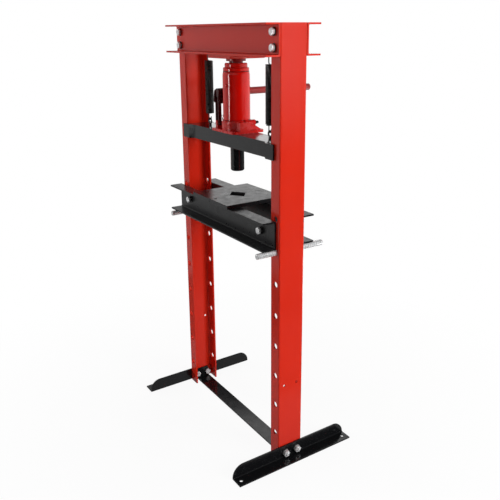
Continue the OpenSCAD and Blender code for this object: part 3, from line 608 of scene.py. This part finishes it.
def pin_screw():
    """Short hex screw in the side of the press pin's holder."""
    low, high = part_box("pin_screw")
    tip = Vector(((low.x + high.x) / 2, high.y, (low.z + high.z) / 2))
    span = (high.y - low.y) / MM
    seat = span - 3.0
    shank_top = seat + 0.5
    bm = bmesh.new()
    turned(bm, [*m8_point(0), (M8_ROOT, seat), (M8_RADIUS, seat), (M8_RADIUS, shank_top), (0, shank_top)],
           BAR_STEPS)
    thread(bm, M8_RADIUS, M8_PITCH, 0.8, seat - 0.6)
    hexagon(bm, 10.0, seat, span)
    place(bm, tip, -Y_AXIS)
    finished("pin_screw_hex", bm, ZINC, "pin_screw", smooth=28)


bolts("head_bolts", front_or_rear)
washers("head_washers", front_or_rear)
nuts("head_nuts", front_or_rear)
bolts("foot_bolts", lambda point: -left_or_right(point))
washers("foot_washers", left_or_right)
nuts("foot_nuts", left_or_right)
bolts("bed_bolts", lambda point: -Y_AXIS)
bed_washers()
nuts("bed_nuts", lambda point: Y_AXIS)
nuts("eye_nuts", lambda point: -Z_AXIS, flats=13.0, screw=4.0)
pin_screw()


# Return springs and their eyes. Wires and bores in millimetres, levels in metres

WIRE = 3.4
COIL_D = 28.0
COIL_PITCH = WIRE * 1.01
EYE_WIRE = 5.0
EYE_BORE = 12.0
SPRING_ROD = 10.0
SPRING_SLIP = 0.3
WIRE_SIDES = 10
HOOK_TAIL = 4
COIL_BELOW_HEAD = 24
COIL_ABOVE_PRESS = 38
# Rings of the collar that the eye stands on, as (radius, height over the press beam)
EYE_COLLAR = [(5.0, 0), (5.0, 3.0), (4.2, 4.2), (3.0, 5.5), (2.5, 7.5), (0, 7.5)]
COIL_R = (COIL_D - WIRE) / 2 * MM
EYE_R = (EYE_BORE + EYE_WIRE) / 2 * MM
press_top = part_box("press_beam")[1].z
coil_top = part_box("head_beam_front")[0].z - COIL_BELOW_HEAD * MM
coil_foot = press_top + COIL_ABOVE_PRESS * MM
eye_centre = press_top + EYE_WIRE * MM + EYE_R
eye_bar = eye_centre + EYE_R
rod_low, rod_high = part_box("spring_rods")
rod_centre = (rod_low.z + rod_high.z) / 2


def wire_end(bm, radius, point, direction, sides=WIRE_SIDES):
    """A round face to draw wire from."""
    disc = bmesh.ops.create_circle(bm, cap_ends=True, radius=radius, segments=sides)
    bmesh.ops.transform(bm, matrix=carried(point, direction), verts=disc["verts"])
    return disc["verts"][0].link_faces[0]


def bend(bm, face, centre, axis, angle, steps, rise=0.0):
    """Draws the wire on round an axis, with a rise along it, and gives the new end face."""
    out = bmesh.ops.spin(bm, geom=[face], cent=centre, axis=axis, angle=math.radians(angle),
                         dvec=axis * rise / steps, steps=steps)
    return [g for g in out["geom_last"] if isinstance(g, bmesh.types.BMFace)][0]


def straight(bm, face, offset):
    """Draws the wire straight on by an offset and gives the new end face."""
    out = bmesh.ops.extrude_discrete_faces(bm, faces=[face])
    bmesh.ops.translate(bm, vec=offset, verts=out["faces"][0].verts)
    return out["faces"][0]


def hook(bm, face, level, bar, grip):
    """From a coil's end at (0, -R) in to the axis, up to a bar, and round it. In metres."""
    face = bend(bm, face, Vector((0, -COIL_R / 2, level)), Z_AXIS, 180, steps=10)
    face = bend(bm, face, Vector((0, 0, level + grip)), Y_AXIS, 90, steps=6)
    face = straight(bm, face, Z_AXIS * (bar - level - grip))
    face = bend(bm, face, Vector((0, 0, bar)), Y_AXIS, 200, steps=14)
    straight(bm, face, Z_AXIS * -HOOK_TAIL * MM)


def return_spring(node):
    """A close wound coil with an open loop at each end, the lower one turned to pass through its eye."""
    low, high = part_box(node)
    middle = (low + high) / 2
    wire_r = WIRE / 2 * MM
    foot = coil_foot + wire_r
    top = coil_top - wire_r
    turns = round((top - foot) / (COIL_PITCH * MM))
    bm = bmesh.new()
    face = wire_end(bm, wire_r, Vector((0, -COIL_R, foot)), X_AXIS)
    face = bend(bm, face, Vector((0, 0, foot)), Z_AXIS, 360 * turns, 24 * turns, top - foot)
    hook(bm, face, top, rod_centre, ((SPRING_ROD + WIRE) / 2 + SPRING_SLIP) * MM)
    lower = bmesh.new()
    face = wire_end(lower, wire_r, Vector((0, -COIL_R, -foot)), X_AXIS)
    hook(lower, face, -foot, -eye_bar, ((EYE_WIRE + WIRE) / 2 + SPRING_SLIP) * MM)
    over = Matrix.Rotation(math.pi / 2, 4, "Z") @ Matrix.Rotation(math.pi, 4, "X")
    bmesh.ops.transform(lower, matrix=over, verts=lower.verts)
    join(bm, lower)
    place(bm, Vector((middle.x, middle.y, 0)))
    piece = piece_of(node + "_wound", bm, SPRING, smooth=60)
    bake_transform(piece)
    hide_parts(node)


def spring_eyes():
    """Eye bolts: a bent eye on a collar, and a cut thread below the press beam."""
    low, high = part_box("spring_eyes")
    point = (low.z - press_top) / MM
    bm = bmesh.new()
    blank = bmesh.new()
    turned(blank, [*m8_point(point), (M8_ROOT, -1.0), *EYE_COLLAR], BAR_STEPS)
    thread(blank, M8_RADIUS, M8_PITCH, point + 0.8, -1.5)
    ring = bmesh.new()
    face = wire_end(ring, EYE_WIRE / 2 * MM, X_AXIS * EYE_R, Z_AXIS, sides=14)
    bend(ring, face, Vector(), Y_AXIS, 350, steps=36)
    bmesh.ops.transform(ring, matrix=Matrix.Rotation(math.radians(100), 4, "Y"), verts=ring.verts)
    join(blank, ring, [(Z_AXIS * (eye_centre - press_top), Z_AXIS)])
    y = (low.y + high.y) / 2
    reach = (EYE_BORE / 2 + EYE_WIRE) * MM
    join(bm, blank, [(Vector((x, y, press_top)), Z_AXIS) for x in (low.x + reach, high.x - reach)])
    finished("spring_eyes_bent", bm, BLACK, "spring_eyes", smooth=50)


for node in ("return_spring_left", "return_spring_right"):
    return_spring(node)
spring_eyes()


# Weld beads, in millimetres

RIPPLE = 3.0
SWELL = 1.12
BEAD_SIDES = 8


def bead(bm, start, end, radius=2.2):
    """A rippled round bead from one point in metres to another."""
    way = end - start
    steps = max(2, round(way.length / (RIPPLE / 2 * MM)))
    face = wire_end(bm, radius * MM, start, way.normalized(), BEAD_SIDES)
    for index in range(steps):
        face = straight(bm, face, way / steps)
        centre = start + way / steps * (index + 1)
        swell = SWELL if index % 2 else 1 / SWELL
        bmesh.ops.scale(bm, vec=Vector((swell,) * 3), space=Matrix.Translation(-centre), verts=face.verts)


def ring_bead(bm, centre, axis, radius, size, steps=72):
    """A plain round bead round a tube. The face that it is drawn from is taken out of its inside."""
    blank = bmesh.new()
    face = wire_end(blank, size * MM, X_AXIS * radius * MM, Y_AXIS, BEAD_SIDES)
    bmesh.ops.spin(blank, geom=[face], cent=Vector(), axis=Z_AXIS, angle=math.tau,
                   steps=steps, use_merge=True)
    bmesh.ops.delete(blank, geom=[face], context="FACES")
    join(bm, blank, [(centre, axis)])


def head_welds():
    """Beads that hold the plate under the head beams, and the ribs and the spring rods between them."""
    plate_inset = 4 * MM
    rib_inset = 6 * MM
    rod_inset = 1.5 * MM
    bm = bmesh.new()
    low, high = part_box("head_plate")
    for y in (low.y, high.y):
        bead(bm, Vector((low.x + plate_inset, y, high.z)), Vector((high.x - plate_inset, y, high.z)))
    for low, high in islands("head_ribs"):
        front = low.y + rib_inset
        rear = high.y - rib_inset
        for x in (low.x, high.x):
            bead(bm, Vector((x, front, low.z)), Vector((x, rear, low.z)), radius=1.8)
    for low, high in islands("spring_rods"):
        middle = (low + high) / 2
        for y, way in ((low.y + rod_inset, Y_AXIS), (high.y - rod_inset, -Y_AXIS)):
            ring_bead(bm, Vector((middle.x, y, middle.z)), way, SPRING_ROD / 2 + 0.6, size=1.8, steps=28)
    finished("head_weld_beads", bm, FRAME_RED, "head_plate", smooth=70, extra=True)


def press_welds():
    """Beads under the press beam's top plate and round the press pin's holder."""
    wall = 5 * MM
    inner = 77 / 2 * MM - wall
    stitches = ((-225, -135), (-60, 60), (135, 225))
    under = press_top - wall
    bm = bmesh.new()
    for y in (-inner, inner):
        for start, end in stitches:
            bead(bm, Vector((start * MM, y, under)), Vector((end * MM, y, under)), radius=2.4)
    low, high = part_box("pin_holder")
    ring_bead(bm, Z_AXIS * (high.z - 0.6 * MM), -Z_AXIS, (high.x - low.x) / 2 / MM, size=2.6)
    finished("press_beam_weld_beads", bm, BLACK, "press_beam", smooth=70, extra=True)


def foot_fillet(node, way):
    """Rounded inner corner of a foot angle; way is 1 where its flat leg runs to the right, or else -1."""
    radius = 3.5 * MM
    steel = 4.5 * MM
    sunk = 1 * MM
    arc_steps = 6
    low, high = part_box(node)
    corner_x = (high.x if way < 0 else low.x) + way * steel
    centre = Vector((corner_x + way * radius, low.y, steel + radius))
    angles = [math.radians(90 * step / arc_steps) for step in range(arc_steps + 1)]
    arc = [centre - Vector((way * math.cos(a), 0, math.sin(a))) * radius for a in angles]
    bm = bmesh.new()
    corner = Vector((corner_x - way * sunk, low.y, steel - sunk))
    section = bm.faces.new([bm.verts.new(point) for point in (corner, *arc)])
    out = bmesh.ops.extrude_face_region(bm, geom=[section])
    moved = [g for g in out["geom"] if isinstance(g, bmesh.types.BMVert)]
    bmesh.ops.translate(bm, vec=Y_AXIS * (high.y - low.y), verts=moved)
    finished(node + "_fillet", bm, BLACK, node, smooth=40, extra=True)


head_welds()
press_welds()
foot_fillet("foot_left", -1)
foot_fillet("foot_right", 1)


# Bottle jack, in millimetres

TUBE_R = 42.0
CAP_R = 40.0
JACK_STEPS = 96
ROD_STEPS = 48
# The reservoir's drawn in shoulder, as (how far in, how far below its top)
SHOULDER = [(0, 12), (0.25, 9), (0.8, 5.5), (1.6, 2.5), (2.2, 0.8), (2.8, 0)]


def span_of(node):
    """The node's foot in metres and its height in millimetres."""
    low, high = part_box(node)
    return low.z, (high.z - low.z) / MM


def jack_tube():
    """Reservoir drawn in at the shoulder, with a bead where it sits on the casting."""
    foot, height = span_of("jack_reservoir")
    inner = 39.0
    bm = bmesh.new()
    shoulder = [(TUBE_R - inward, height - below) for inward, below in SHOULDER]
    turned(bm, [(inner, 0), (TUBE_R, 0), *shoulder, (inner, height), (inner, 0)], JACK_STEPS)
    ring_bead(bm, Z_AXIS * 0.6 * MM, Z_AXIS, TUBE_R, size=1.5, steps=JACK_STEPS)
    place(bm, Z_AXIS * foot)
    finished("jack_reservoir_tube", bm, JACK_RED, "jack_reservoir", smooth=40)


def jack_shade_rings():
    """Dark rings of painted shade in the crevices where the tube meets the casting and where it goes under
    the cap.
    """
    foot, height = span_of("jack_reservoir")
    low_ring = 2.4
    sunk = 0.1
    bm = bmesh.new()
    # Painted shade: a dark ring just over the casting and one under the cap
    ring_bead(bm, Z_AXIS * low_ring * MM, Z_AXIS, TUBE_R - sunk, size=0.9, steps=JACK_STEPS)
    ring_bead(bm, Z_AXIS * height * MM, Z_AXIS, CAP_R - sunk, size=0.8, steps=JACK_STEPS)
    place(bm, Z_AXIS * foot)
    finished("jack_painted_shade_rings", bm, MAROON, "jack_reservoir", smooth=60, extra=True)


def jack_cap():
    """Cap with a rounded shoulder and a small step at its foot."""
    foot, height = span_of("reservoir_cap")
    skirt = 29.2
    hole = 21.5
    roof = height * 0.62
    lip = CAP_R - 0.6
    bm = bmesh.new()
    turned(bm, [(skirt, 0), (lip, 0), (lip, 1.2), (CAP_R, 1.6), *rounded_corner(CAP_R, height, 3.5),
                (hole, height), (hole, roof), (skirt, roof), (skirt, 0)], JACK_STEPS)
    place(bm, Z_AXIS * foot)
    finished("reservoir_cap_turned", bm, JACK_RED, "reservoir_cap", smooth=40)


def gland():
    """Gland nut with a rounded top."""
    foot, height = span_of("gland_nut")
    outer = 35.0
    bore = 21.3
    chamfer = 1
    bm = bmesh.new()
    turned(bm, [(bore, 0), (outer, 0), *rounded_corner(outer, height, 4.0), (bore + chamfer, height),
                (bore, height - chamfer), (bore, 0)], steps=80)
    place(bm, Z_AXIS * foot)
    finished("gland_nut_turned", bm, JACK_RED, "gland_nut", smooth=40)


def screw_spindle():
    """Extension screw with a coarse thread."""
    foot, height = span_of("extension_screw")
    outer = 13.0
    pitch = 3.0
    core = outer - pitch * THREAD_DEPTH
    end = height - 1
    bm = bmesh.new()
    turned(bm, [(0, 0), (core - 1, 0), (core, 1), (core, end), (0, end)], ROD_STEPS)
    thread(bm, outer, pitch, 1.6, height - 2.4, steps=28)
    place(bm, Z_AXIS * foot)
    finished("extension_screw_cut", bm, RAM_STEEL, "extension_screw", smooth=30)


def filler_plug():
    """Red painted plug with a lip and a dished top, pressed in the reservoir's side."""
    low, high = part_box("filler_plug")
    middle = (low + high) / 2
    way = Vector((middle.x, middle.y, 0)).normalized()
    head = 4.75
    top = 3.0
    neck = 4.4
    bm = bmesh.new()
    turned(bm, [(0, -4.2), (neck - 0.4, -4.2), (neck, -3.4), (neck, -0.2), (head, 0.1),
                *rounded_corner(head, top, 1.4), (2.4, top), (1.6, top - 0.8), (0, top - 1)], steps=40)
    place(bm, way * TUBE_R * MM + Z_AXIS * middle.z, way)
    finished("filler_plug_lipped", bm, CASTING, "filler_plug", smooth=40)


def handle():
    """Round handle with a rolled front end and a rounded far end."""
    low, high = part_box("handle_bar")
    middle = (low + high) / 2
    length = (high.y - low.y) / MM
    outer = (high.x - low.x) / 2 / MM
    rolled = [(outer - 3.2, 3), (outer - 2.6, 0.6), (outer - 1.6, 0), (outer - 0.5, 0.4), (outer, 1.4)]
    bm = bmesh.new()
    turned(bm, [(0, 3), *rolled, *rounded_corner(outer, length, 4.0), (0, length)], ROD_STEPS)
    place(bm, Vector((middle.x, low.y, middle.z)), Y_AXIS)
    finished("handle_bar_turned", bm, HANDLE_RED, "handle_bar", smooth=40)


def pump_tube():
    """Pump barrel with a hex collar and a wiper lip at its top."""
    low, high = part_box("pump_barrel")
    middle = (low + high) / 2
    height = (high.z - low.z) / MM
    body = 12.0
    bore = 6.05
    floor = 5
    seat = bore + 3
    collar = height - 8.0
    rim = height - 1
    bm = bmesh.new()
    turned(bm, [(bore, floor), (0, floor), (0, 0), (body, 0), (body, collar), (seat, collar + 0.5),
                (seat, height - 0.5), (bore + 0.6, height - 0.5), (bore, rim), (bore, floor)], ROD_STEPS)
    hexagon(bm, 26.0, collar, height - 0.6, bore + HOLE_PLAY)
    turned(bm, [(bore, rim), (bore + 3.4, rim), (bore + 2.8, height), (bore + 0.4, height), (bore, rim)],
           ROD_STEPS)
    place(bm, Vector((middle.x, middle.y, low.z)))
    finished("pump_barrel_turned", bm, RAM_STEEL, "pump_barrel", smooth=32)


def headed_pin(node):
    """Pin with a domed head at each end."""
    low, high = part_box(node)
    middle = (low + high) / 2
    span = (high.x - low.x) / MM
    head = 2.5
    rim = 6.0
    shank = 3.5
    dome = 1.2
    near_dome = [(r, head - z) for r, z in reversed(rounded_corner(rim, head, dome))]
    bm = bmesh.new()
    turned(bm, [(0, 0), *near_dome, (rim, head), (shank, head), (shank, span - head), (rim, span - head),
                *rounded_corner(rim, span, dome), (0, span)], BAR_STEPS)
    place(bm, Vector((low.x, middle.y, middle.z)), X_AXIS)
    finished(node + "_headed", bm, MAROON, node, smooth=40)


jack_tube()
# Dark rings of painted shade at the reservoir's foot and under its cap
jack_shade_rings()
jack_cap()
gland()
# Saddle in its darkened red: painted shade under the head plate
rounded("saddle", SADDLE_PAINTED_SHADE, SADDLE_EDGE, FINE)
screw_spindle()
filler_plug()
handle()
pump_tube()
headed_pin("link_pin")
headed_pin("fulcrum_pin")
rounded("plunger_pin", ZINC, BAR_EDGE)
rounded("pump_plunger", RAM_STEEL, BAR_EDGE)
rounded("lever_links", MAROON, LINK_EDGE, FINE)
rounded("pump_lever", MAROON, LINK_EDGE, FINE)
rounded("jack_base", CASTING, CASTING_EDGE, FINE)
rounded("jack_cylinder", RAM_STEEL, BAR_EDGE)
rounded("jack_ram", RAM_STEEL, RAM_EDGE)
rounded("release_valve", BLACK, VALVE_EDGE)
rounded("gland_seal", RUBBER, SEAL_EDGE)
rounded("ram_seal", RUBBER, SEAL_EDGE)


# Studio, in metres. Azimuths in degrees from the front towards the right

FLOOR_SIZE = 12
FLOOR_DROP = 0.5 * MM
FLOOR_TONE = 0.75
FLOOR_GLOW_NEAR = 0.93
NEAR_FLOOR_R = 0.3
FAR_FLOOR_R = 1.3
ROOM_LEVEL = 0.06
LAMP_AIM = 0.7
CARD_R = 1.25
CARD_TOP = 1.45


def stand(name, bm, material):
    """Puts a sheet of the studio in the scene."""
    mesh = bpy.data.meshes.new(name)
    bm.to_mesh(mesh)
    bm.free()
    mesh.materials.append(material)
    sheet = bpy.data.objects.new(name, mesh)
    bpy.context.scene.collection.objects.link(sheet)
    return sheet


def room_light():
    """A world that looks white and lights the press only faintly."""
    world = bpy.data.worlds.new("studio")
    bpy.context.scene.world = world
    graph = Graph(world)
    background = graph.nodes["Background"]
    background.inputs["Color"].default_value = (1, 1, 1, 1)
    level = graph.ramp(graph.looked_at(), 0.0, 1.0, ROOM_LEVEL, 1.0)
    graph.links.new(level, background.inputs["Strength"])


def floor_material():
    """Matt pale floor that looks nearly white, so that its shadows are faint."""
    material = bpy.data.materials.new("pale_floor")
    graph = Graph(material)
    shader = graph.nodes["Principled BSDF"]
    shader.inputs["Base Color"].default_value = (FLOOR_TONE, FLOOR_TONE, FLOOR_TONE, 1)
    shader.inputs["Roughness"].default_value = 0.9
    shader.inputs["Specular IOR Level"].default_value = 0
    away = graph.nodes.new("ShaderNodeVectorMath")
    away.operation = "LENGTH"
    graph.links.new(graph.place(), away.inputs[0])
    white = graph.ramp(away.outputs["Value"], NEAR_FLOOR_R, FAR_FLOOR_R, FLOOR_GLOW_NEAR, 1.0)
    mix = graph.nodes.new("ShaderNodeMixShader")
    glow = graph.nodes.new("ShaderNodeEmission")
    graph.links.new(graph.combined("MULTIPLY", graph.looked_at(), white), mix.inputs["Fac"])
    graph.links.new(shader.outputs["BSDF"], mix.inputs[1])
    graph.links.new(glow.outputs["Emission"], mix.inputs[2])
    graph.links.new(mix.outputs["Shader"], graph.nodes["Material Output"].inputs["Surface"])
    return material


def floor():
    """A pale floor that runs out to white."""
    bm = bmesh.new()
    bmesh.ops.create_grid(bm, x_segments=1, y_segments=1, size=FLOOR_SIZE)
    stand("studio_floor", bm, floor_material()).location.z = -FLOOR_DROP


def lamp(name, azimuth, elevation, power, distance=4.5, size=2.8):
    """Square soft lamp that points at the press."""
    light = bpy.data.lights.new(name, "AREA")
    light.shape = "SQUARE"
    light.size = size
    light.energy = power
    lamp_object = bpy.data.objects.new(name, light)
    bpy.context.scene.collection.objects.link(lamp_object)
    a = math.radians(azimuth)
    e = math.radians(elevation)
    way = Vector((math.sin(a) * math.cos(e), -math.cos(a) * math.cos(e), math.sin(e)))
    lamp_object.location = way * distance + Z_AXIS * LAMP_AIM
    lamp_object.rotation_euler = (-way).to_track_quat("-Z", "Y").to_euler()
    lamp_object.visible_camera = False
    lamp_object.visible_glossy = False


def disc(radius, height=0.0):
    """Level round sheet on the press's axis."""
    bm = bmesh.new()
    bmesh.ops.create_circle(bm, cap_ends=True, radius=radius, segments=48)
    bmesh.ops.translate(bm, vec=Z_AXIS * height, verts=bm.verts)
    return bm


def curved(start, end, radius=CARD_R, low=0.0, high=CARD_TOP):
    """Upright curved sheet round the press, from one azimuth to another."""
    bm = bmesh.new()
    a = math.radians(start)
    at = Vector((math.sin(a), -math.cos(a), 0)) * radius
    edge = bm.edges.new([bm.verts.new(at + Z_AXIS * low), bm.verts.new(at + Z_AXIS * high)])
    bmesh.ops.spin(bm, geom=[*edge.verts, edge], cent=Vector(), axis=Z_AXIS,
                   angle=math.radians(end - start), steps=24)
    return bm


def card(name, bm, level, top_level=None, low=0.0, high=1.0):
    """Sheet that shows only in reflections, at one level or from level at low to top_level at high."""
    material = bpy.data.materials.new(name)
    graph = Graph(material)
    height = graph.nodes.new("ShaderNodeSeparateXYZ")
    graph.links.new(graph.place(), height.inputs["Vector"])
    strength = graph.ramp(height.outputs["Z"], low, high, level, level if top_level is None else top_level)
    glow = graph.nodes.new("ShaderNodeEmission")
    graph.links.new(strength, glow.inputs["Strength"])
    graph.links.new(glow.outputs["Emission"], graph.nodes["Material Output"].inputs["Surface"])
    sheet = stand(name, bm, material)
    sheet.visible_camera = False
    sheet.visible_diffuse = False
    sheet.visible_shadow = False
    sheet.visible_transmission = False


def studio():
    """The room, its soft lamps and the cards that the gloss paint mirrors."""
    room_light()
    floor()
    lamp("right", 113, 14, 97, distance=3.2, size=1.7)
    lamp("left", -60, 12, 130)
    lamp("front", 40, 12, 22)
    lamp("back", 215, 20, 60)
    lamp("top", 0, 88, 26)
    card("grey_card", curved(-110, -16), 0.1, 0.5, low=0.04, high=0.09)
    card("strip_card", curved(-9.5, -3.5), 0.0, 17.0, low=0.85, high=0.92)
    card("dark_card", curved(-3, 95), 0.0)
    card("side_card", curved(95, 134), 0.0, 0.5, low=0.74, high=1.22)
    card("low_card", curved(134, 185, high=0.78), 0.05, 0.15, low=0.0, high=0.6)
    card("low_strip", curved(142, 182, radius=1.2, low=0.02, high=0.3), 9.0)
    card("rear_card", curved(185, 250, high=0.85), 0.05)
    card("rear_glow", curved(205, 268, radius=1.6, low=1.0, high=1.5), 1.35)
    card("far_ground", disc(1.25), 0.1)
    card("near_ground", disc(0.62, height=0.001), 0.32)
    card("dark_ceiling", disc(3.5, height=2.2), 0.2)


# Camera, as fitted to the photograph

CAMERA_PLACE = Vector((1.6711, -1.0384, 1.2987))
CAMERA_AZIMUTH = 57.04
CAMERA_PITCH = 16.68
CAMERA_ROLL = -0.52
FOCAL_PX = 631.56
PHOTO_PX = 500
CENTRE_ROW_PX = 220.43
SENSOR_MM = 36
NEAREST = 0.02


def camera():
    """The camera that took the photograph, looking down a little at the press's right front."""
    a, b, r = (math.radians(angle) for angle in (CAMERA_AZIMUTH, CAMERA_PITCH, CAMERA_ROLL))
    forward = Vector((-math.sin(a) * math.cos(b), math.cos(a) * math.cos(b), -math.sin(b)))
    level = Vector((math.cos(a), math.sin(a), 0))
    upright = level.cross(forward)
    right = math.cos(r) * level + math.sin(r) * upright
    up = -math.sin(r) * level + math.cos(r) * upright
    data = bpy.data.cameras.new("photo_camera")
    data.sensor_width = SENSOR_MM
    data.lens = FOCAL_PX * SENSOR_MM / PHOTO_PX
    data.shift_y = (CENTRE_ROW_PX - PHOTO_PX / 2) / PHOTO_PX
    data.clip_start = NEAREST
    view = bpy.data.objects.new("photo_camera", data)
    bpy.context.scene.collection.objects.link(view)
    turn = Matrix((right, up, -forward)).transposed().to_4x4()
    view.matrix_world = Matrix.Translation(CAMERA_PLACE) @ turn
    bpy.context.scene.camera = view


studio()
camera()
bpy.context.scene.view_settings.view_transform = "Standard"
